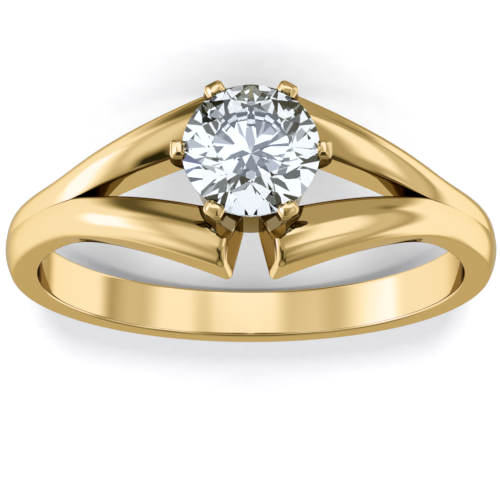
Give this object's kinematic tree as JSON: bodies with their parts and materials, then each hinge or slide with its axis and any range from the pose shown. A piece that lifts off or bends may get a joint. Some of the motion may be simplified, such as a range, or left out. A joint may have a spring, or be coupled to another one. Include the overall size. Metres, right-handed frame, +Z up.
{
  "type": "split shank ring",
  "caption": "Finger ring whose band splits into branches under a claw head that holds a round brilliant cut stone.",
  "frame": {"origin": "on the surface that the ring lies on, under the middle of its bounding box", "axes": "+X across the head from side to side, +Y from the stone to the back of the band, +Z up from the surface"},
  "size_m": [0.02, 0.0236, 0.0072],
  "materials": {
    "gold": "mirror-polished yellow gold",
    "stone": "clear polished cut stone"
  },
  "bodies": {
    "root": {"mounting": "gold", "stone": "stone"}
  },
  "joints": []
}
